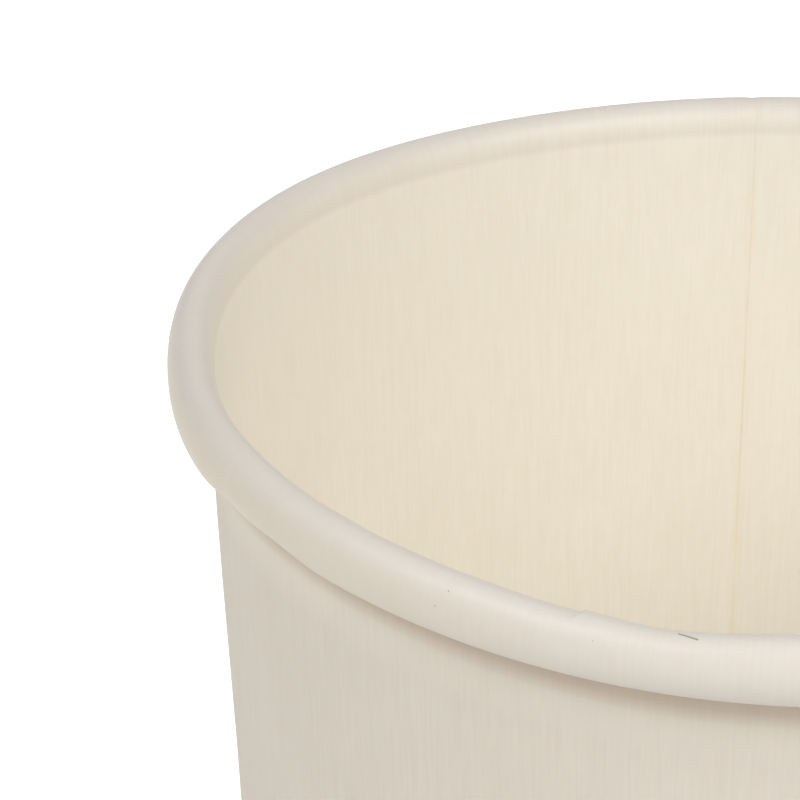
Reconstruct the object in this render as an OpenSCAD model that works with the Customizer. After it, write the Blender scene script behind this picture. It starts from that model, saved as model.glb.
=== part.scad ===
// Single-wall paper cup for hot drinks.
// Two pieces of board: a wrapped side wall with a rolled rim, and a pressed base disc.
// The origin is the middle of the cup on the plane it stands on, and +Z runs up to the rim.

/* [Cup] */
// Height of the cup from the standing edge to the top of the rim
cup_h = 92; // [70:1:120]
// Outside diameter over the rolled rim
rim_d = 80; // [74:1:95]
// Outside diameter of the wall at the standing plane
foot_d = 56; // [48:1:62]

/* [Board] */
// Thickness of the side wall board
wall_t = 0.35; // [0.25:0.05:0.4]
// Thickness of the base board
base_t = 0.35; // [0.25:0.05:0.4]
// Film of glue between two layers of board
glue_gap = 0.05; // [0.03:0.01:0.1]

/* [Rolled rim] */
// Width of the rolled rim, measured across the cup's wall
bead_w = 2.9; // [2.7:0.1:3.6]
// Height of the rolled rim
bead_h = 4.1; // [3.6:0.1:4.8]
// Room between the tucked edge of the board and the turn around it
tuck_gap = 0.1; // [0.05:0.05:0.2]
// How far the tucked edge runs past one full turn, in degrees
tuck_angle = 60; // [20:5:75]

/* [Side seam] */
// Width over which the two ends of the side wall lap
seam_lap = 6; // [4:0.5:9]
// Direction of the inner cut edge of the seam, counted from +X toward +Y
seam_angle = 97.6; // [0:0.1:360]
// Width over which the outer layer climbs onto the inner one
climb_w = 0.9; // [0.6:0.1:2]
// Width of the open groove beside the inner cut edge
groove_w = 0.4; // [0.2:0.05:0.6]
// Depth of the open groove beside the inner cut edge
groove_deep = 0.2; // [0.1:0.05:0.2]

/* [Base] */
// Height of the underside of the base above the standing plane
base_up = 7; // [5:0.5:12]
// Inside radius of the two bends that fold the wall's lower edge inward
foot_bend_r = 0.1; // [0.02:0.02:0.12]
// Inside radius of the bend at the edge of the base
base_bend_r = 0.6; // [0.3:0.1:0.9]
// How far the hem's cut edge stays below the underside of the base
hem_gap = 1; // [1:0.1:2]

/* [Hidden] */
$fn = 96;

// Colour of the uncoated outside of the board
wall_colour = [0.86, 0.82, 0.76];
// Colour of the coated inside of the board
base_colour = [0.90, 0.87, 0.79];

// Angle between two points of a bend
bend_step = 12;
// Half of the turn over which a heading along the rolled rim is measured
slope_step = 0.5;
// Margin by which a cutting shape reaches past what it cuts
cut_over = 1;

// Middle of the rolled rim's section
bead_r = (rim_d - bead_w) / 2;
bead_z = cup_h - bead_h / 2;
// Half width and half height of the board's middle line in the rolled rim
roll_a = (bead_w - wall_t) / 2;
roll_b = (bead_h - wall_t) / 2;
// How far the tucked edge lies inside the turn around it, from middle line to middle line
tuck_in = wall_t + tuck_gap;
// Turn of the roll, in degrees, at which the board starts to tuck in and is tucked in
tuck_from = 270;
tuck_to = 360;

// Radius of the wall's middle line at the standing plane
wall_r0 = (foot_d - wall_t) / 2;
// Distance between the middle lines of the roll and of the foot, across the cup
flare = bead_r - wall_r0;
// Outward lean of the wall, as radius over height, where its line runs tangent into the rolled rim
lean_root = pow(flare * bead_z, 2) - (pow(bead_z, 2) - pow(roll_b, 2)) * (pow(flare, 2) - pow(roll_a, 2));
lean = (flare * bead_z - sqrt(lean_root)) / (pow(bead_z, 2) - pow(roll_b, 2));
lean_angle = atan(lean);
// Turn of the roll at which the wall's line meets it
roll_start = atan(lean * roll_b / roll_a);

// Distance between the middle lines of two glued layers at the foot
layer_pitch = (wall_t + base_t) / 2 + glue_gap;
// Radius of the middle line of the foot's bends, and height of their centres
foot_rho = foot_bend_r + wall_t / 2;
foot_z = foot_rho + wall_t / 2;
// Height of the hem's cut edge
hem_z = base_up - hem_gap;

// Radius of the middle line of the bend at the edge of the base
base_rho = base_bend_r + base_t / 2;
// Height of the middle line of the base and of the centre of its bend
base_mid_z = base_up + base_t / 2;
base_bend_z = base_mid_z - base_rho;

// Radius of the wall's middle line at a height, or of a layer that lies inside it
function layer_r(z, inside = 0) = wall_r0 + lean * z - inside / cos(lean_angle);

// Radius of the centre of a bend whose edge lies on a layer, where reach is the bend's radius,
// counted positive for a bend outside the layer and negative for one inside it
function bend_r(z, inside, reach) =
    layer_r(z + reach * sin(lean_angle), inside) + reach * cos(lean_angle);

// Even steps from one angle to another, with the last one and without the first
function steps(from, to) =
    let (count = ceil(abs(to - from) / bend_step))
    [for (i = [1:count]) from + (to - from) * i / count];

// A point on a middle line with the heading in which the line runs there
function mark(r, z, heading) = [r, z, heading];

// Marks along an arc about a centre, from one heading to another, turning left or right
function arc(cr, cz, rho, from, to) =
    let (side = to > from ? -1 : 1)
    [
        for (heading = concat([from], steps(from, to)))
            mark(cr + side * rho * cos(heading + 90), cz + side * rho * sin(heading + 90), heading)
    ];

// How far the board has tucked in at a turn of the roll, from 0 to 1
function tucked(turn) =
    let (share = min(1, max(0, (turn - tuck_from) / (tuck_to - tuck_from))))
    (1 - cos(180 * share)) / 2;

// Middle line of the rolled rim at a turn, counted from the side that faces the drink over the top
function roll_point(turn) = [
    bead_r - (roll_a - tuck_in * tucked(turn)) * cos(turn),
    bead_z + (roll_b - tuck_in * tucked(turn)) * sin(turn)
];

function roll_mark(turn) =
    let (
        p = roll_point(turn),
        step = roll_point(turn + slope_step) - roll_point(turn - slope_step)
    )
    mark(p[0], p[1], atan2(step[1], step[0]));

// Turns of the roll where its curve begins, is topmost, is outermost, tucks in and ends
roll_stops = [roll_start, 90, 180, tuck_from, tuck_to, tuck_to + tuck_angle];

// Middle line of the side wall: hem, two bends of the foot, wall, rolled rim and tucked edge
wall_line = concat(
    [mark(layer_r(hem_z, 2 * layer_pitch), hem_z, 270 - lean_angle)],
    arc(bend_r(foot_z, 2 * layer_pitch, foot_rho), foot_z, foot_rho, 270 - lean_angle, 360),
    arc(bend_r(foot_z, 0, -foot_rho), foot_z, foot_rho, 360, 450 - lean_angle),
    [roll_mark(roll_start)],
    [for (k = [1:len(roll_stops) - 1], turn = steps(roll_stops[k - 1], roll_stops[k])) roll_mark(turn)]
);

// Middle line of the base: disc, bend and turned-down skirt
base_line = concat(
    [mark(0, base_mid_z, 0)],
    arc(bend_r(base_bend_z, layer_pitch, -base_rho), base_bend_z, base_rho, 0, -90 - lean_angle),
    [mark(layer_r(foot_z, layer_pitch), foot_z, 270 - lean_angle)]
);

// Points beside a middle line, at a distance to the left of its heading
function beside(line, distance) = [
    for (m = line)
        [m[0] + distance * cos(m[2] + 90), m[1] + distance * sin(m[2] + 90)]
];

// Section of a strip of board about its middle line
module strip(line, thickness) {
    left = beside(line, thickness / 2);
    right = beside(line, -thickness / 2);
    polygon(concat(left, [for (i = [len(right) - 1:-1:0]) right[i]]));
}

// Section between two distances from the wall's middle line, counted outward, from a height to another
module wall_band(inner, outer, low_z, high_z) {
    polygon([
        [layer_r(low_z, -inner), low_z],
        [layer_r(low_z, -outer), low_z],
        [layer_r(high_z, -outer), high_z],
        [layer_r(high_z, -inner), high_z]
    ]);
}

// Slab that keeps the stretch of a revolved band between two distances beside the seam
module seam_slab(from, to) {
    rotate([0, 0, seam_angle])
        translate([0, from, -cut_over])
            cube([rim_d, to - from, cup_h + 2 * cut_over]);
}

// Second layer of board along the seam, glued on the outside
module seam_layer() {
    intersection() {
        rotate_extrude()
            wall_band(0, 1.5 * wall_t, foot_z, bead_z);
        seam_slab(-seam_lap, climb_w);
    }
}

// Groove that stays open on the inside, beside the inner cut edge
module seam_groove() {
    intersection() {
        rotate_extrude()
            wall_band(-wall_t / 2 - cut_over, groove_deep - wall_t / 2, base_up + base_t + glue_gap, bead_z);
        seam_slab(0, groove_w);
    }
}

module side_wall() {
    color(wall_colour)
        difference() {
            union() {
                rotate_extrude()
                    strip(wall_line, wall_t);
                seam_layer();
            }
            seam_groove();
        }
}

module base_disc() {
    color(base_colour)
        rotate_extrude()
            strip(base_line, base_t);
}

side_wall();
base_disc();
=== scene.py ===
"""Dresses a packed paper cup: a lapped board wall with a rolled rim, and a pressed base.

The side wall is one sheet of board, built as a grid of rows along its section and columns
round the cup, with the true lap at the seam. Lengths are in metres, in the cup's own frame.
Angles are in degrees, apart from the camera's, which are in radians.

A section's middle line is a list of marks. Each mark is a radius, a height, the heading in
which the line runs there, and the turn of the rolled rim, counted from its drink side over
the top, or NO_TURN where the board isn't rolled.
"""

import math

import bmesh
import bpy
import numpy as np
from mathutils import Matrix, Vector


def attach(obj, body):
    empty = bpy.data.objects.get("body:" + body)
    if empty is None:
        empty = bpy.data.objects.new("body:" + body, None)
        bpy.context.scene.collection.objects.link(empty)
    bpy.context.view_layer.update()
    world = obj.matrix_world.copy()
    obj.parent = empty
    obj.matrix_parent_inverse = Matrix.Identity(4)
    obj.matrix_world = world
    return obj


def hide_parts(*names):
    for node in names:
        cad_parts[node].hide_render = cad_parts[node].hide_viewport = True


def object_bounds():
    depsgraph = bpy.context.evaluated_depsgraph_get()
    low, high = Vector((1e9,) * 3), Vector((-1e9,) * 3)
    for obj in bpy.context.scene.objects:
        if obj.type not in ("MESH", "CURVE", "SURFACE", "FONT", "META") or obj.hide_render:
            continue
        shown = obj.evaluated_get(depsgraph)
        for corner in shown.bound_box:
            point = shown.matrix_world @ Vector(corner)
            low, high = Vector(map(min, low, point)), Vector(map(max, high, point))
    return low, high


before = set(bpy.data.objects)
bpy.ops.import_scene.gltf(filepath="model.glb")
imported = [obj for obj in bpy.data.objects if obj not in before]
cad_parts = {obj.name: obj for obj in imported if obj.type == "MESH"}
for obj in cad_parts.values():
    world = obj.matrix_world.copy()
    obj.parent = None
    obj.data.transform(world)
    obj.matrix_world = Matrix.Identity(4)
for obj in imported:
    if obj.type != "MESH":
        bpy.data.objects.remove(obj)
CAD_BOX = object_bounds()

MM = 0.001
DEG = math.pi / 180
NO_TURN = -1

# Cup, from the frame
CUP_H = CAD_BOX[1].z
RIM_D = round(CAD_BOX[1].y - CAD_BOX[0].y, 5)

# Cup and board, as in the part's source
FOOT_D = 56 * MM
BOARD = 0.35 * MM
BEAD_W = 2.9 * MM
BEAD_H = 4.1 * MM
TUCK_GAP = 0.1 * MM
TUCK_FROM = 270
TUCK_TO = 360
TUCK_ANGLE = 60
GLUE = 0.05 * MM
SEAM_LAP = 6 * MM
SEAM_ANGLE = 97.6
CLIMB_W = 0.9 * MM
BASE_UP = 7 * MM
FOOT_BEND = 0.1 * MM
BASE_BEND = 0.6 * MM
HEM_GAP = 1 * MM

# Lines and bends of the two sections, worked out as in the part's source
BEAD_R = (RIM_D - BEAD_W) / 2
BEAD_Z = CUP_H - BEAD_H / 2
ROLL_A = (BEAD_W - BOARD) / 2
ROLL_B = (BEAD_H - BOARD) / 2
WALL_R0 = (FOOT_D - BOARD) / 2
FLARE = BEAD_R - WALL_R0
LEAN_ROOT = (FLARE * BEAD_Z) ** 2 - (BEAD_Z ** 2 - ROLL_B ** 2) * (FLARE ** 2 - ROLL_A ** 2)
LEAN = (FLARE * BEAD_Z - math.sqrt(LEAN_ROOT)) / (BEAD_Z ** 2 - ROLL_B ** 2)
LEAN_DEG = math.degrees(math.atan(LEAN))
ROLL_START = math.degrees(math.atan(LEAN * ROLL_B / ROLL_A))
LAYER_PITCH = BOARD + GLUE
FOOT_RHO = FOOT_BEND + BOARD / 2
FOOT_Z = FOOT_RHO + BOARD / 2
HEM_Z = BASE_UP - HEM_GAP
BASE_RHO = BASE_BEND + BOARD / 2
BASE_MID_Z = BASE_UP + BOARD / 2
BASE_BEND_Z = BASE_MID_Z - BASE_RHO
# Headings of a line that runs down or up along the leaning wall
DOWN = 270 - LEAN_DEG
UP = 450 - LEAN_DEG
# Half of the turn over which a heading along the rolled rim is measured
SLOPE_STEP = 0.5

# How the rim wavers: count round the cup, amount, and direction of its high side
RIM_RADIAL_WAVES = [(2, 0.07 * MM, 87), (3, 0.06 * MM, 14), (4, 0.06 * MM, -24)]
RIM_UPRIGHT_WAVES = [(2, 0.07 * MM, -8), (3, 0.11 * MM, -55), (5, 0.12 * MM, 11)]
# Where the rim and the wall below it are pushed out or in: direction, half width, amount
RIM_PUSHES = [(207, 14, 0.17 * MM), (186, 9, -0.10 * MM)]
# The same for the wall alone, which fades out to both ends between four heights
WALL_PUSHES = [(190, 22, 0.22 * MM)]
WALL_PUSH_Z = (60 * MM, 80 * MM, 84.5 * MM, 88.5 * MM)
# Height, as a share of the rolled rim's, from which the wall takes part in the waver
WAVER_FROM = 0.45
# How much lower and narrower the wavering rim lies, so that it stays inside the true cup
RIM_SINK = 0.3 * MM
RIM_SHRINK = 0.13 * MM

# Where the rim's skin swells or is pressed in: direction, half width and amount, for its ridge
# and for its underside, the turns of these two, and how many degrees of turn each one reaches
RIDGE_SWELLS = [
    (209, 7, 0.10 * MM),
    (240, 5, 0.02 * MM),
    (249, 6, -0.12 * MM),
    (258.5, 4.5, -0.18 * MM),
    (271, 6, 0.26 * MM),
]
UNDERSIDE_SWELLS = [(209, 3, -0.34 * MM), (214, 5, -0.17 * MM), (218, 3.5, -0.16 * MM)]
RIDGE_TURN = 75
UNDERSIDE_TURN = 250
SWELL_REACH = 75

# The small nick in the ridge: its direction, which drifts sideways with the turn past the ridge
NICK_AT = 251.35
NICK_DRIFT = 0.022
# How far the skin steps there, the share of it that stands out on the right, and the angles
# over which the two sides fade
NICK_STEP = 0.15 * MM
NICK_OUT_SHARE = 0.8
NICK_LEFT = 0.9
NICK_RIGHT = 2.6
# The turn at which the nick is deepest, and the turn over which it fades from there
NICK_TURN = 78
NICK_REACH = 24

# The seam is pressed nearly flush on the inside: how far the inner cut edge stands proud there,
# the dip on both sides of it, the widths that the dip and the thinned edge take up, and the film
# of glue under the outer end
SEAM_STEP = 0.02 * MM
SEAM_DIP = 0.035 * MM
DIP_W = 0.55 * MM
THIN_W = 1.0 * MM
GLUE_FILM = 0.01 * MM
# The height from which the lap fades in and the height that this takes, over which the outer end
# passes through the thickness of the inner one. Below, the two meet with a gap of this angle
LAP_FADE_FROM = 0.5 * MM
LAP_FADE_H = 1.1 * MM
BUTT_GAP = 0.05

# The base's pressed form, in shares of its radius: a faint dish inside a ring
DISH_EDGE = 0.87
DISH_DEPTH = 0.15 * MM
RING_AT = 0.9
RING_HALF = 0.018
RING_DEPTH = 0.12 * MM

# Rows along the wall: heights of those between foot and rim in millimetres, how many the hem has
# and how low they reach, and the steps of heading or turn at the foot, in the roll and in the tuck
WALL_ROWS_MM = (
    0.6, 0.9, 1.2, 1.6, 2.4, 4, 7, 12, 22, 34, 46, 56, 64, 70, 75, 79, 82, 84.5, 86.5, 88, 89.2,
)
HEM_ROWS = 4
HEM_LOW = 1.2 * MM
FOOT_STEP = 22
ROLL_STEP = 7
TUCK_STEP = 12
# Rows along the base: shares of its radius, the step of heading in its bend, and the skirt's rows
BASE_ROWS = (0.03, 0.2, 0.4, 0.6, 0.75, 0.84, 0.87, 0.885, 0.9, 0.915, 0.93, 0.96)
BASE_BEND_STEP = 8
SKIRT_ROWS = 4
SKIRT_HIGH = 5 * MM

# Columns round the wall: angles of those beside the inner cut edge, and the step of the others
EDGE_COLUMNS = (0, 0.1, 0.22, 0.4, 0.65)
COLUMN_STEP = 0.78
# Finer steps in a band on both sides of the nick, and in a narrower one
NICK_BAND = 3
NICK_BAND_STEP = 0.3
NICK_CORE = 1
NICK_CORE_STEP = 0.11
# Columns of the outer end, where the board climbs and where it laps, and those of the base
CLIMB_STEP = 0.14
FLAP_COLUMNS = 14
BASE_COLUMNS = 240

# Edges of a mesh that bend more than this are sharp
SHARP_ANGLE = 50

# Materials of a sheet, in the order of its material slots
COATED_SIDE, BARE_SIDE, CUT_SIDE = 0, 1, 2
# The board's two sides: pale and deep tone as seen on a screen, roughness, and specular level
COATED = ((244, 239, 227), (237, 230, 215), 0.42, 0.3)
BARE = ((215, 208, 197), (206, 198, 185), 0.62, 0.12)
# The same for its cut edge
CUT = ((226, 216, 196), (206, 192, 166), 0.9, 0.2)
# How far the fibres raise and lower the roughness, and the span of their noise over which they do
ROUGH_SPREAD = 0.06
ROUGH_SPAN = (0.3, 0.7)
# Noises: scale along the three axes, detail and roughness
FIBRES = ((3900, 210, 1), 3.0, 0.6)
THREADS = ((1200, 55, 1), 2.0, 0.5)
CLOUDS = ((90, 90, 60), 3.0, 0.55)
TOOTH = ((9000, 9000, 5000), 2.0, 0.6)
MOTTLE = ((1500, 1500, 900), 1.0, 0.5)
SEAM_PATCHES = ((0.01, 0.01, 160), 2.0, 0.5)
CUT_FIBRES = ((7000, 7000, 7000), 3.0, 0.6)
# Shares of fibres, threads and clouds in the board's tone, and the span from deep to pale in it
# and in the cut edge's fibres
FIBRES_SHARE = 0.55
THREADS_SHARE = 0.15
CLOUDS_SHARE = 0.3
TONE_SPAN = (0.28, 0.72)
CUT_TONE_SPAN = (0.35, 0.65)
# Strength and depth of the relief on the board's sides and on its cut edge, and the fibres' share
# in the first, where the tooth has the rest
BOARD_RELIEF = (0.25, 0.04 * MM)
CUT_RELIEF = (0.5, 0.06 * MM)
RELIEF_SHARE = 0.5
# Mottled spots on the board
MOTTLE_COLOUR = (236, 206, 158)
MOTTLE_SPAN = (0.4, 0.7)
MOTTLE_SHARE = 0.05

# Painted shade on the rolled rim, a greyer tone deepest over its ridge's top: pairs of turn and share,
# the distance before the roll at which it sets in, and the turn up to which the pairs are spread out
PAINTED_SHADE_GREY = (163, 154, 155)
PAINTED_SHADE_BY_TURN = [
    (10, 0.15), (20, 0.19), (40, 0.29), (60, 0.42), (75, 0.465), (90, 0.465),
    (105, 0.45), (120, 0.45), (150, 0.44), (210, 0.44),
]
SHADE_LEAD = 0.4 * MM
SHADE_END = 330
# Painted shade on the rim's underside, in a tan tone, in pairs of place and share: by angle from the
# seam, where it sets in and what is taken off it again, and by turn
UNDERSIDE_PAINTED_SHADE = (202, 188, 147)
TAN_SETS_IN = ((198, 0.1), (240, 1))
TAN_FADES = ((280, 0), (345, 0.75))
TAN_GROWS = ((125, 0), (165, 0.29))
# Yellowish line on the inside of the seam: how far from the cut edge it sets in and is full, the
# span of the patches that it comes and goes in, and its least and greatest share
SEAM_TAN = (240, 205, 140)
SEAM_LINE_W = 0.45 * MM
SEAM_LINE_FULL = 0.12 * MM
SEAM_LINE_SPAN = (0.35, 0.65)
SEAM_LINE_SHARES = (0.02, 0.12)
# Tones of the outside, in pairs of distance below the start of the roll and share: painted light makes
# the wall paler a little below the rim, and painted shade makes it tan right under the rim
PAINTED_LIGHT_PALE = (240, 232, 216)
PAINTED_LIGHT_GROWS = ((7.6 * MM, 0), (5.2 * MM, 0.22))
PAINTED_LIGHT_ENDS = ((4.9 * MM, 1), (3.9 * MM, 0))
PAINTED_SHADE_TAN = (206, 176, 146)
PAINTED_SHADE_GROWS = ((4.8 * MM, 0), (3.8 * MM, 0.36))

# Dark specks on the rim's skin: direction, turn and half width, the share of the half width that
# is darkest, and how dark that is
MARK_COLOUR = (96, 86, 76)
SPECKS = [(239.18, 136.5, 0.08 * MM), (238.24, 170.2, 0.07 * MM), (252.9, 149.3, 0.05 * MM)]
SPECK_CORE = 0.4
SPECK_SHARE = 0.5
# The fine scratch on the rim: direction and turn of its ends, half width and the same two shares
SCRATCH = [(259.87, 99.0), (261.57, 111.0)]
SCRATCH_HALF = 0.09 * MM
SCRATCH_CORE = 0.3
SCRATCH_SHARE = 0.68

# The camera: how far behind and above the rim's middle it is, in radii of the rim, its angles in
# radians, its focal length in pixels of the picture, and the picture's size
CAMERA_BACK = 12.681
CAMERA_UP = 6.021
CAMERA_YAW = -0.0520
CAMERA_PITCH = 0.4479
CAMERA_ROLL = 0.0435
CAMERA_PIXELS = 8806
PICTURE_SIZE = 800
SENSOR = 36.0
CLIP_NEAR = 0.01
CLIP_FAR = 20

# Soft lamps on both sides and, level with the cup, behind it: name, place, width, power, colour,
# and whether the lamp shines in the object's gloss
LAMPS = [
    ("lamp_far_left", (-0.876, -0.408, 0.95), 0.6, 4.5, (0.985, 0.995, 1.0), True),
    ("lamp_left", (-0.554, -0.791, 0.95), 0.6, 4.3, (0.985, 0.995, 1.0), True),
    ("lamp_right", (0.554, -0.791, 0.95), 0.6, 6.3, (1.0, 0.987, 0.965), True),
    ("lamp_far_right", (0.876, -0.408, 0.95), 0.6, 4.7, (1.0, 0.987, 0.965), True),
    ("lamp_back", (0.0, 1.12, 0.17), 0.3, 3.2, (1.0, 1.0, 1.0), False),
]
# Point that the lamps face
LAMPS_AIM = (0, 0, CUP_H * 0.8)
# Strength of the room's own light
ROOM_LIGHT = 0.25
# What the floor shows over its own lit colour, so that it is white where nothing shades it
FLOOR_LIFT = 0.35
# The floor's linear colour, roughness, specular level and half width
FLOOR_COLOUR = (0.96, 0.96, 0.955, 1)
FLOOR_ROUGH = 0.9
FLOOR_SPECULAR = 0.1
FLOOR_HALF = 4.0


def srgb(colour):
    """A colour as seen on a screen, from 0 to 255, as the linear colour that a shader takes."""
    def linear(value):
        share = value / 255
        return share / 12.92 if share <= 0.04045 else ((share + 0.055) / 1.055) ** 2.4
    return tuple(linear(value) for value in colour) + (1.0,)


def smooth_step(share):
    """An S-shaped rise from 0 to 1."""
    share = np.clip(share, 0, 1)
    return share * share * (3 - 2 * share)


def layer_r(z, inside=0.0):
    """Radius of the wall's middle line at a height, or of a layer that lies inside it."""
    return WALL_R0 + LEAN * z - inside / math.cos(LEAN_DEG * DEG)


def bend_r(z, inside, reach):
    """Radius of the centre of a bend whose edge lies on a layer."""
    return layer_r(z + reach * math.sin(LEAN_DEG * DEG), inside) + reach * math.cos(LEAN_DEG * DEG)


def steps(start, end, step):
    """Even angles from start, which is left out, to end."""
    count = max(1, math.ceil(abs(end - start) / step))
    return [start + (end - start) * i / count for i in range(1, count + 1)]


def arc(centre_r, centre_z, rho, start, end, step):
    """Marks along a bend of the section, from one heading to another."""
    side = -1 if end > start else 1
    marks = []
    for heading in [start] + steps(start, end, step):
        across = (heading + 90) * DEG
        r = centre_r + side * rho * math.cos(across)
        z = centre_z + side * rho * math.sin(across)
        marks.append((r, z, heading, NO_TURN))
    return marks


def roll_point(turn):
    """Middle line of the rolled rim at a turn, from the drink side over the top and round."""
    share = min(1, max(0, (turn - TUCK_FROM) / (TUCK_TO - TUCK_FROM)))
    tuck = (BOARD + TUCK_GAP) * (0.5 - 0.5 * math.cos(math.pi * share))
    return (
        BEAD_R - (ROLL_A - tuck) * math.cos(turn * DEG),
        BEAD_Z + (ROLL_B - tuck) * math.sin(turn * DEG),
    )


def roll_mark(turn):
    """A mark of the rolled rim."""
    before, after = roll_point(turn - SLOPE_STEP), roll_point(turn + SLOPE_STEP)
    heading = math.degrees(math.atan2(after[1] - before[1], after[0] - before[0]))
    return roll_point(turn) + (heading, turn)


def foot_marks():
    """Marks from the hem's cut edge down and round the folded foot."""
    hem = np.linspace(HEM_Z, HEM_LOW, HEM_ROWS)
    marks = [(layer_r(z, 2 * LAYER_PITCH), z, DOWN, NO_TURN) for z in hem]
    marks += arc(bend_r(FOOT_Z, 2 * LAYER_PITCH, FOOT_RHO), FOOT_Z, FOOT_RHO, DOWN, 360, FOOT_STEP)
    return marks + arc(bend_r(FOOT_Z, 0, -FOOT_RHO), FOOT_Z, FOOT_RHO, 360, UP, FOOT_STEP)


def wall_marks():
    """Marks along the side wall's section: hem, foot, wall, rolled rim and tucked edge."""
    wall = [(layer_r(z * MM), z * MM, UP, NO_TURN) for z in WALL_ROWS_MM]
    turns = [ROLL_START] + steps(ROLL_START, TUCK_FROM, ROLL_STEP)
    turns += steps(TUCK_FROM, TUCK_TO + TUCK_ANGLE, TUCK_STEP)
    return foot_marks() + wall + [roll_mark(turn) for turn in turns]


def base_press(share):
    """Height of the base's pressed form at a share of its radius."""
    ring = RING_DEPTH * math.exp(-((share - RING_AT) / RING_HALF) ** 2)
    return -DISH_DEPTH * (1 - min(1, share / DISH_EDGE) ** 2) - ring


def base_marks():
    """Marks along the base's section: pressed disc, bend and skirt."""
    edge = bend_r(BASE_BEND_Z, LAYER_PITCH, -BASE_RHO)
    marks = [(edge * share, BASE_MID_Z + base_press(share), 0, NO_TURN) for share in BASE_ROWS]
    marks += arc(edge, BASE_BEND_Z, BASE_RHO, 0, -90 - LEAN_DEG, BASE_BEND_STEP)
    skirt = np.linspace(SKIRT_HIGH, FOOT_Z, SKIRT_ROWS)
    return marks + [(layer_r(z, LAYER_PITCH), z, DOWN, NO_TURN) for z in skirt]


def column(marks, place):
    """One value of every mark, as a column."""
    return np.array([mark[place] for mark in marks])[:, None]


def path_lengths(marks):
    """Length along the section at each mark."""
    total, lengths = 0.0, [0.0]
    for a, b in zip(marks, marks[1:]):
        total += math.hypot(b[0] - a[0], b[1] - a[1])
        lengths.append(total)
    return np.array(lengths)


def rim_v(turn):
    """Length along the wall's section at a turn of the rolled rim, where 0 gives its start."""
    marks = wall_marks()
    turns = [mark[3] for mark in marks if mark[3] != NO_TURN]
    return float(np.interp(turn, turns, path_lengths(marks)[-len(turns):]))


def degrees_u(degrees):
    """The u coordinate at an angle round the cup from the inner cut edge of the seam."""
    return degrees * DEG * RIM_D / 2


def below_rim(distance):
    """The v coordinate at a distance below the start of the rolled rim."""
    return rim_v(0) - distance


def waves(azimuth, table):
    """Sum of the rim's waves at azimuths."""
    return sum(amount * np.cos(count * (azimuth - high) * DEG) for count, amount, high in table)


def around(azimuth, centre):
    """Signed angle from a direction."""
    return (azimuth - centre + 180) % 360 - 180


def bumps(azimuth, table):
    """Sum of single bumps at azimuths."""
    return sum(amount * np.exp(-(around(azimuth, at) / half) ** 2) for at, half, amount in table)


def waver(radius, z, azimuth):
    """Moves points of a true cup to where the wavering rim and the pushed wall have them."""
    share = smooth_step((z / BEAD_Z - WAVER_FROM) / (1 - WAVER_FROM))
    out = waves(azimuth, RIM_RADIAL_WAVES) + bumps(azimuth, RIM_PUSHES)
    low, full, fading, high = WALL_PUSH_Z
    mid = smooth_step((z - low) / (full - low)) * (1 - smooth_step((z - fading) / (high - fading)))
    radius = radius + share * (out - RIM_SHRINK) + mid * bumps(azimuth, WALL_PUSHES)
    return radius, z + share * (waves(azimuth, RIM_UPRIGHT_WAVES) - RIM_SINK)


def rim_swell(azimuth, turn):
    """How far the rim's skin stands out or in along its normal."""
    swell = 0
    for at, table in ((RIDGE_TURN, RIDGE_SWELLS), (UNDERSIDE_TURN, UNDERSIDE_SWELLS)):
        apart = np.clip((turn - at) / SWELL_REACH, -1, 1)
        swell = swell + np.cos(apart * math.pi / 2) ** 2 * bumps(azimuth, table)
    return np.where(turn < 0, 0, swell)


def rim_nick(azimuth, turn):
    """Step in the rim's skin where the board is nicked."""
    apart = around(azimuth, NICK_AT - NICK_DRIFT * np.maximum(turn - RIDGE_TURN, 0))
    left = -np.exp(np.minimum(apart, 0) / NICK_LEFT) * (apart < 0)
    right = NICK_OUT_SHARE * np.exp(-np.maximum(apart, 0) / NICK_RIGHT) * (apart >= 0)
    ridge = np.where(turn < 0, 0, np.exp(-((turn - NICK_TURN) / NICK_REACH) ** 2))
    return NICK_STEP * ridge * (left + right)


def sheet_points(marks, azimuth, lift):
    """Points of one side of a sheet, at a distance from its middle line."""
    across = (column(marks, 2) + 90) * DEG
    radius = column(marks, 0) + np.cos(across) * lift
    r, z = waver(radius, column(marks, 1) + np.sin(across) * lift, azimuth)
    return np.stack([r * np.cos(azimuth * DEG), r * np.sin(azimuth * DEG), z], -1).reshape(-1, 3)


def sheet_faces(rows, cols, closed):
    """Corners and material of a sheet's faces: its two sides and its cut edges."""
    index = np.arange(rows * cols).reshape(rows, cols)
    here, beside = index[:, :-1], index[:, 1:]
    if closed:
        here, beside = index, np.roll(index, -1, axis=1)
    outer = rows * cols
    patches = [
        (COATED_SIDE, (here[:-1], here[1:], beside[1:], beside[:-1])),
        (BARE_SIDE, (here[:-1] + outer, beside[:-1] + outer, beside[1:] + outer, here[1:] + outer)),
        (CUT_SIDE, (here[:1], beside[:1], beside[:1] + outer, here[:1] + outer)),
        (CUT_SIDE, (here[-1:], here[-1:] + outer, beside[-1:] + outer, beside[-1:])),
    ]
    if not closed:
        first, last = index[:, :1], index[:, -1:]
        patches += [
            (CUT_SIDE, (first[:-1], first[:-1] + outer, first[1:] + outer, first[1:])),
            (CUT_SIDE, (last[:-1], last[1:], last[1:] + outer, last[:-1] + outer)),
        ]
    faces = [np.stack([corner.ravel() for corner in corners], -1) for kind, corners in patches]
    kinds = [np.full(len(quads), patch[0]) for patch, quads in zip(patches, faces)]
    return np.concatenate(faces), np.concatenate(kinds)


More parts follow.
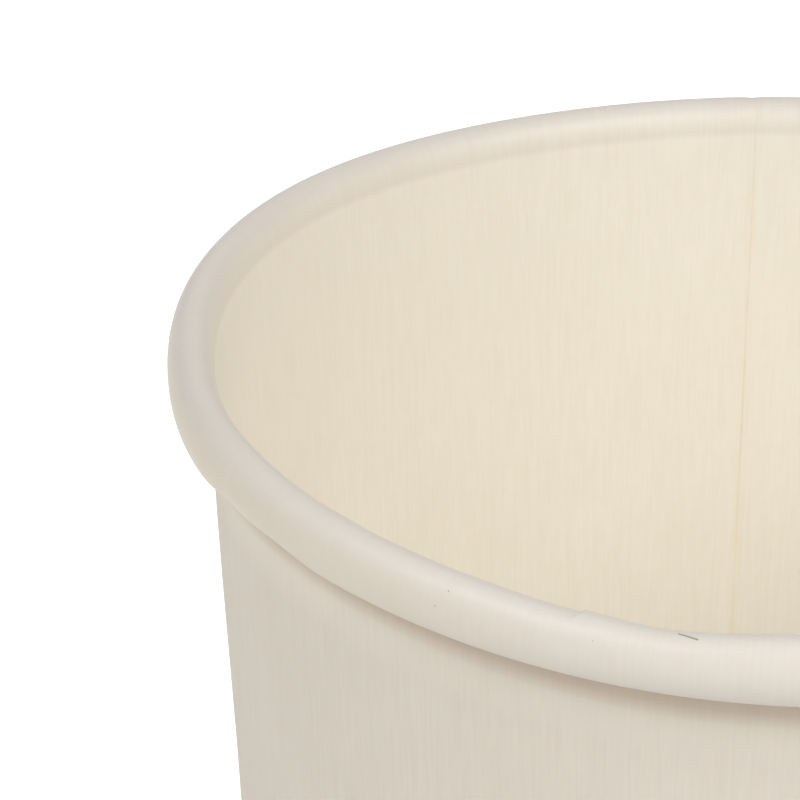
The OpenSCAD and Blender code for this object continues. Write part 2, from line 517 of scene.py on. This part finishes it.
def sheet_mesh(name, marks, azimuth, sides, uv, closed):
    """A sheet of board, from its section's marks, the azimuth at each row and column, the
    distances of its drink side and outer side from the middle line, and its uv coordinates."""
    rows, cols = azimuth.shape
    points = np.concatenate([sheet_points(marks, azimuth, lift) for lift in sides])
    faces, kinds = sheet_faces(rows, cols, closed)
    mesh = bpy.data.meshes.new(name)
    mesh.from_pydata(points.tolist(), [], faces.tolist())
    mesh.polygons.foreach_set("material_index", kinds.astype(np.int32))
    layer = mesh.uv_layers.new(name="board")
    one_side = np.stack([np.broadcast_to(part, (rows, cols)).ravel() for part in uv], -1)
    both_sides = np.concatenate([one_side, one_side])
    corners = np.empty(len(mesh.loops), dtype=np.int32)
    mesh.loops.foreach_get("vertex_index", corners)
    layer.data.foreach_set("uv", both_sides[corners].ravel())
    mesh.validate()
    mesh.shade_smooth()
    mesh.set_sharp_from_angle(angle=SHARP_ANGLE * DEG)
    piece = bpy.data.objects.new(name, mesh)
    bpy.context.collection.objects.link(piece)
    return piece


def columns(climb_from):
    """Angles of the wall's columns from the inner cut edge to where the outer end climbs."""
    nick = (SEAM_ANGLE - NICK_AT) % 360
    angles, start = list(EDGE_COLUMNS), EDGE_COLUMNS[-1]
    for stop, step in (
        (nick - NICK_BAND, COLUMN_STEP),
        (nick - NICK_CORE, NICK_BAND_STEP),
        (nick + NICK_CORE, NICK_CORE_STEP),
        (nick + NICK_BAND, NICK_BAND_STEP),
        (climb_from, COLUMN_STEP),
    ):
        angles += steps(start, stop, step)
        start = stop
    return np.array(angles)


def side_wall():
    """The wrapped sheet, whose outer end climbs over the inner end at the seam."""
    marks = wall_marks()
    rows = len(marks)
    radius, height, turn = column(marks, 0), column(marks, 1), column(marks, 3)
    above_foot = np.arange(rows)[:, None] >= len(foot_marks())
    lapped = np.where(above_foot, smooth_step((height - LAP_FADE_FROM) / LAP_FADE_H), 0)

    # Angles of the columns, where the outer end goes over the inner one or stops just before it
    climb_from = 360 - CLIMB_W / (FOOT_D / 2) / DEG
    main = columns(climb_from)
    climb = np.array(steps(climb_from, 360, CLIMB_STEP))
    flap = np.linspace(0, 1, FLAP_COLUMNS + 1)[1:]
    over = np.hstack([np.tile(climb, (rows, 1)), 360 + SEAM_LAP / radius / DEG * flap])
    count = over.shape[1]
    butt = climb_from + (360 - BUTT_GAP - climb_from) * np.arange(1, count + 1) / count
    u = np.hstack([np.tile(main, (rows, 1)), lapped * over + (1 - lapped) * butt])
    azimuth = SEAM_ANGLE - u

    # How the inner end dips and thins out toward its cut edge
    from_edge = u * DEG * radius
    dip = SEAM_DIP * (1 - smooth_step(from_edge / DIP_W))
    thinned = (BOARD - dip - SEAM_STEP) * (1 - smooth_step(from_edge / THIN_W))
    inside, outside = -lapped * dip, lapped * thinned

    # How far out the outer end lies as it climbs, and then as it covers the inner end
    past = (over - 360) * DEG * radius
    covering = smooth_step(past / THIN_W)
    climbed = (SEAM_DIP + SEAM_STEP) * smooth_step(past / CLIMB_W + 1)
    out = climbed + (BOARD - SEAM_DIP - SEAM_STEP) * covering
    inside[:, main.size:] = -lapped * (out + GLUE_FILM * covering)
    outside[:, main.size:] = inside[:, main.size:]

    skin = rim_swell(azimuth, turn) + rim_nick(azimuth, turn)
    sides = (inside + BOARD / 2 + skin, outside - BOARD / 2 + skin)
    uv = (degrees_u(u), path_lengths(marks)[:, None])
    return sheet_mesh("side_wall_board", marks, azimuth, sides, uv, False)


def close_middle(piece, rows, cols):
    """Joins the top and the underside of the base by two fans in place of the small inner edge."""
    bm = bmesh.new()
    bm.from_mesh(piece.data)
    bm.verts.ensure_lookup_table()
    top = [bm.verts[i] for i in range(cols)]
    under = [bm.verts[rows * cols + i] for i in range(cols)]
    inner = {v.index for v in top} | {v.index for v in under}
    edge_faces = [f for f in bm.faces if all(v.index in inner for v in f.verts)]
    bmesh.ops.delete(bm, geom=edge_faces, context="FACES_ONLY")
    layer = bm.loops.layers.uv["board"]
    for ring, kind, turned in ((top, COATED_SIDE, False), (under, BARE_SIDE, True)):
        middle = bm.verts.new(sum((v.co for v in ring), Vector()) / cols)
        for a, b in zip(ring, ring[1:] + ring[:1]):
            face = bm.faces.new((middle, b, a) if turned else (middle, a, b))
            face.material_index = kind
            face.smooth = True
            for loop in face.loops:
                loop[layer].uv = loop.vert.co.xy
    bm.to_mesh(piece.data)
    bm.free()


def base():
    """The pressed base with its skirt, a closed round sheet whose middle is a small disc."""
    marks = base_marks()
    rows = len(marks)
    azimuth = np.tile(np.linspace(0, 360, BASE_COLUMNS, endpoint=False), (rows, 1))
    from_middle = path_lengths(marks)[:, None] + marks[0][0]
    uv = (from_middle * np.cos(azimuth * DEG), from_middle * np.sin(azimuth * DEG))
    piece = sheet_mesh("base_board", marks, azimuth, (BOARD / 2, -BOARD / 2), uv, True)
    close_middle(piece, rows, BASE_COLUMNS)
    return piece


class Nodes:
    """Short calls for building a tree of nodes."""

    def __init__(self, tree):
        self.tree = tree

    def fill(self, node, inputs):
        """Links each input to a socket, or sets it to a value."""
        for key, value in inputs.items():
            if isinstance(value, bpy.types.NodeSocket):
                self.tree.links.new(value, node.inputs[key])
            else:
                node.inputs[key].default_value = value

    def add(self, kind, inputs=None, **settings):
        node = self.tree.nodes.new(kind)
        for key, value in settings.items():
            setattr(node, key, value)
        self.fill(node, inputs or {})
        return node

    def noise(self, vector, scale, detail, rough):
        mapped = self.add("ShaderNodeMapping", {"Vector": vector, "Scale": scale}).outputs[0]
        inputs = {"Vector": mapped, "Scale": 1.0, "Detail": detail, "Roughness": rough}
        return self.add("ShaderNodeTexNoise", inputs).outputs["Fac"]

    def math(self, kind, a, b, clamp=False):
        return self.add("ShaderNodeMath", {0: a, 1: b}, operation=kind, use_clamp=clamp).outputs[0]

    def vector(self, kind, a, b, out="Value"):
        return self.add("ShaderNodeVectorMath", {0: a, 1: b}, operation=kind).outputs[out]

    def span(self, value, low, high, to_low=0.0, to_high=1.0):
        """A value mapped evenly from one range to another, and held at the ends."""
        inputs = {0: value, 1: low, 2: high, 3: to_low, 4: to_high}
        return self.add("ShaderNodeMapRange", inputs).outputs[0]

    def mix(self, share, a, b):
        return self.add("ShaderNodeMix", {0: share, 6: a, 7: b}, data_type="RGBA").outputs[2]

    def relief(self, height, strength, depth):
        inputs = {"Height": height, "Strength": strength, "Distance": depth}
        return self.add("ShaderNodeBump", inputs).outputs[0]


def new_material(name):
    """A material, the calls for its nodes, and its shader."""
    material = bpy.data.materials.new(name)
    material.use_nodes = True
    n = Nodes(material.node_tree)
    return material, n, n.tree.nodes["Principled BSDF"]


def between(n, value, to_length, start, end):
    """A share that runs evenly from one pair of place and share to another."""
    return n.span(value, to_length(start[0]), to_length(end[0]), start[1], end[1])


def along_rim(n, v, start_v, table):
    """A share that follows pairs of turn and share along the rim, and is 0 before start_v."""
    end_v = rim_v(SHADE_END)
    ramp = n.add("ShaderNodeValToRGB", {0: n.span(v, start_v, end_v)})
    stops = ramp.color_ramp.elements
    stops[0].position, stops[0].color = 0.0, (0, 0, 0, 1)
    stops[1].position, stops[1].color = 1.0, (table[-1][1],) * 3 + (1,)
    for turn, share in table:
        stop = stops.new((rim_v(turn) - start_v) / (end_v - start_v))
        stop.color = (share,) * 3 + (1,)
    return ramp.outputs[0]


def rim_spot(azimuth, turn):
    """A point on the rim's skin."""
    r, z, heading, turn = roll_mark(turn)
    across = (heading + 90) * DEG
    lift = BOARD / 2 + rim_swell(azimuth, turn) + rim_nick(azimuth, turn)
    r, z = waver(r + lift * math.cos(across), z + lift * math.sin(across), azimuth)
    return Vector((r * math.cos(azimuth * DEG), r * math.sin(azimuth * DEG), z))


def rim_marks(n, place):
    """Share of dark specks and scratch at a place on the rim."""
    total = 0.0
    for azimuth, turn, half in SPECKS:
        apart = n.vector("DISTANCE", place, rim_spot(azimuth, turn))
        total = n.math("ADD", n.span(apart, half, half * SPECK_CORE, 0, SPECK_SHARE), total)
    start, end = (rim_spot(*spot) for spot in SCRATCH)
    along = end - start
    from_start = n.vector("SUBTRACT", place, start, "Vector")
    reached = n.vector("DOT_PRODUCT", from_start, along)
    share = n.math("MULTIPLY", reached, 1 / along.length_squared, clamp=True)
    near = n.add("ShaderNodeVectorMath", {0: along, "Scale": share}, operation="SCALE").outputs[0]
    apart = n.vector("DISTANCE", from_start, near)
    scratch = n.span(apart, SCRATCH_HALF, SCRATCH_HALF * SCRATCH_CORE, 0, SCRATCH_SHARE)
    return n.math("ADD", total, scratch, clamp=True)


def seam_line(n, u, place):
    """Share of the yellowish line on both sides of the inner cut edge, which comes and goes."""
    round_cup = degrees_u(360)
    inner_end = n.span(u, SEAM_LINE_W, SEAM_LINE_FULL)
    outer_end = n.span(u, round_cup - SEAM_LINE_W, round_cup - SEAM_LINE_FULL)
    patchy = n.span(n.noise(place, *SEAM_PATCHES), *SEAM_LINE_SPAN, *SEAM_LINE_SHARES)
    return n.math("MULTIPLY", n.math("MAXIMUM", inner_end, outer_end), patchy)


def inside_details(n, colour, u, v, place):
    """The coated side: painted shade on the rim and its left underside, seam line and small marks."""
    # Painted shade: greys the rolled rim, most over its ridge's top
    colour = n.mix(along_rim(n, v, below_rim(SHADE_LEAD), PAINTED_SHADE_BY_TURN), colour, srgb(PAINTED_SHADE_GREY))
    # Painted shade: a tan tone toward the rim's left underside
    sets_in = between(n, u, degrees_u, *TAN_SETS_IN)
    toward_left = n.math("SUBTRACT", sets_in, between(n, u, degrees_u, *TAN_FADES))
    underside = between(n, v, rim_v, *TAN_GROWS)
    colour = n.mix(n.math("MULTIPLY", toward_left, underside), colour, srgb(UNDERSIDE_PAINTED_SHADE))
    colour = n.mix(seam_line(n, u, place), colour, srgb(SEAM_TAN))
    return n.mix(rim_marks(n, place), colour, srgb(MARK_COLOUR))


def outside_details(n, colour, u, v, place):
    """The bare side: painted light a little below the rim, and painted tan shade right under it."""
    # Painted light: a paler band on the wall a little below the rim
    painted_lift = between(n, v, below_rim, *PAINTED_LIGHT_GROWS)
    painted_lift = n.math("MULTIPLY", painted_lift, between(n, v, below_rim, *PAINTED_LIGHT_ENDS))
    colour = n.mix(painted_lift, colour, srgb(PAINTED_LIGHT_PALE))
    # Painted shade: a tan band right under the rim
    return n.mix(between(n, v, below_rim, *PAINTED_SHADE_GROWS), colour, srgb(PAINTED_SHADE_TAN))


def board(name, surface, details):
    """Paper board: faint long fibres, cloudy tone, a fine tooth and mottled spots."""
    pale, deep, rough, specular = surface
    material, n, shader = new_material(name)
    uv = n.add("ShaderNodeUVMap", uv_map="board").outputs[0]
    place = n.add("ShaderNodeTexCoord").outputs["Object"]
    fibres = n.noise(uv, *FIBRES)
    threads = n.math("MULTIPLY", n.noise(uv, *THREADS), THREADS_SHARE)
    clouds = n.math("MULTIPLY", n.noise(place, *CLOUDS), CLOUDS_SHARE)
    tone = n.math("ADD", n.math("MULTIPLY", fibres, FIBRES_SHARE), threads)
    tone = n.math("ADD", tone, clouds)
    colour = n.mix(n.span(tone, *TONE_SPAN), srgb(deep), srgb(pale))
    mottle = n.span(n.noise(place, *MOTTLE), *MOTTLE_SPAN, 0, MOTTLE_SHARE)
    colour = n.mix(mottle, colour, srgb(MOTTLE_COLOUR))
    if details:
        along = n.add("ShaderNodeSeparateXYZ", {0: uv}).outputs
        colour = details(n, colour, along[0], along[1], place)
    tooth = n.math("MULTIPLY", n.noise(place, *TOOTH), 1 - RELIEF_SHARE)
    height = n.math("ADD", n.math("MULTIPLY", fibres, RELIEF_SHARE), tooth)
    n.fill(shader, {
        "Base Color": colour,
        "Roughness": n.span(fibres, *ROUGH_SPAN, rough - ROUGH_SPREAD, rough + ROUGH_SPREAD),
        "Specular IOR Level": specular,
        "Normal": n.relief(height, *BOARD_RELIEF),
    })
    return material


def cut_edge():
    """The raw cut edge of the board."""
    pale, deep, rough, specular = CUT
    material, n, shader = new_material("cut_edge")
    fibres = n.noise(n.add("ShaderNodeTexCoord").outputs["Object"], *CUT_FIBRES)
    n.fill(shader, {
        "Base Color": n.mix(n.span(fibres, *CUT_TONE_SPAN), srgb(deep), srgb(pale)),
        "Roughness": rough,
        "Specular IOR Level": specular,
        "Normal": n.relief(fibres, *CUT_RELIEF),
    })
    return material


def camera():
    """The camera at the photograph's viewing angle, close above the rim."""
    unit = BEAD_R - RIM_SHRINK
    place = Vector((0, -CAMERA_BACK * unit, BEAD_Z - RIM_SINK + CAMERA_UP * unit))
    yaw, pitch, roll = CAMERA_YAW, CAMERA_PITCH, CAMERA_ROLL
    ahead = Vector((math.sin(yaw) * math.cos(pitch), math.cos(yaw) * math.cos(pitch), -math.sin(pitch)))
    right = Vector((math.cos(yaw), -math.sin(yaw), 0))
    up = right.cross(ahead)
    right, up = (
        math.cos(roll) * right + math.sin(roll) * up,
        math.cos(roll) * up - math.sin(roll) * right,
    )
    data = bpy.data.cameras.new("photo_camera")
    data.sensor_width = SENSOR
    data.lens = CAMERA_PIXELS / PICTURE_SIZE * SENSOR
    data.clip_start = CLIP_NEAR
    data.clip_end = CLIP_FAR
    eye = bpy.data.objects.new("photo_camera", data)
    bpy.context.collection.objects.link(eye)
    turned = Matrix((right, up, -ahead)).transposed().to_4x4()
    eye.matrix_world = Matrix.Translation(place) @ turned
    bpy.context.scene.camera = eye


def area_light(name, place, width, power, colour, mirrored):
    """A soft square light that faces the cup, and that shines in the object's gloss or not."""
    data = bpy.data.lights.new(name, "AREA")
    data.shape = "SQUARE"
    data.size = width
    data.energy = power
    data.color = colour
    light = bpy.data.objects.new(name, data)
    light.location = place
    light.visible_glossy = mirrored
    ahead = Vector(LAMPS_AIM) - Vector(place)
    light.rotation_euler = ahead.to_track_quat("-Z", "Y").to_euler()
    bpy.context.collection.objects.link(light)


def looked_at(n):
    """Socket that is 1 for the rays that show a background, and 0 for those that light the object."""
    rays = n.add("ShaderNodeLightPath").outputs
    seen = n.math("MAXIMUM", rays["Is Camera Ray"], rays["Is Glossy Ray"])
    return n.math("MAXIMUM", seen, rays["Is Transmission Ray"])


def studio():
    """Level soft light, and a pale backdrop for the rays that show one."""
    bpy.context.scene.view_settings.view_transform = "Standard"
    for lamp in LAMPS:
        area_light(*lamp)
    world = bpy.data.worlds.new("studio")
    bpy.context.scene.world = world
    world.use_nodes = True
    n = Nodes(world.node_tree)
    room = n.tree.nodes["Background"]
    n.fill(room, {"Color": (1, 1, 1, 1), "Strength": ROOM_LIGHT})
    backdrop = n.add("ShaderNodeBackground", {"Strength": 1.0})
    shown = {0: looked_at(n), 1: room.outputs[0], 2: backdrop.outputs[0]}
    blend = n.add("ShaderNodeMixShader", shown)
    n.fill(n.tree.nodes["World Output"], {"Surface": blend.outputs[0]})


def floor():
    """A pale floor, larger than any view of the cup."""
    mesh = bpy.data.meshes.new("floor")
    corners = [(x * FLOOR_HALF, y * FLOOR_HALF, 0) for x, y in ((-1, -1), (1, -1), (1, 1), (-1, 1))]
    mesh.from_pydata(corners, [], [(0, 1, 2, 3)])
    piece = bpy.data.objects.new("floor", mesh)
    bpy.context.collection.objects.link(piece)
    material, n, shader = new_material("floor")
    n.fill(shader, {
        "Base Color": FLOOR_COLOUR,
        "Roughness": FLOOR_ROUGH,
        "Specular IOR Level": FLOOR_SPECULAR,
    })
    lift = n.math("MULTIPLY", looked_at(n), FLOOR_LIFT)
    glow = n.add("ShaderNodeEmission", {"Strength": lift})
    both = n.add("ShaderNodeAddShader", {0: shader.outputs[0], 1: glow.outputs[0]})
    n.fill(n.tree.nodes["Material Output"], {"Surface": both.outputs[0]})
    mesh.materials.append(material)


camera()
studio()
floor()

wall_piece = side_wall()
base_piece = base()
edge = cut_edge()
for piece, name, inside, outside in (
    (wall_piece, "wall", inside_details, outside_details),
    (base_piece, "base", None, None),
):
    piece.data.materials.append(board(name + "_coated", COATED, inside))
    piece.data.materials.append(board(name + "_bare", BARE, outside))
    piece.data.materials.append(edge)
    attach(piece, "root")
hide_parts("side_wall")
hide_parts("base_disc")
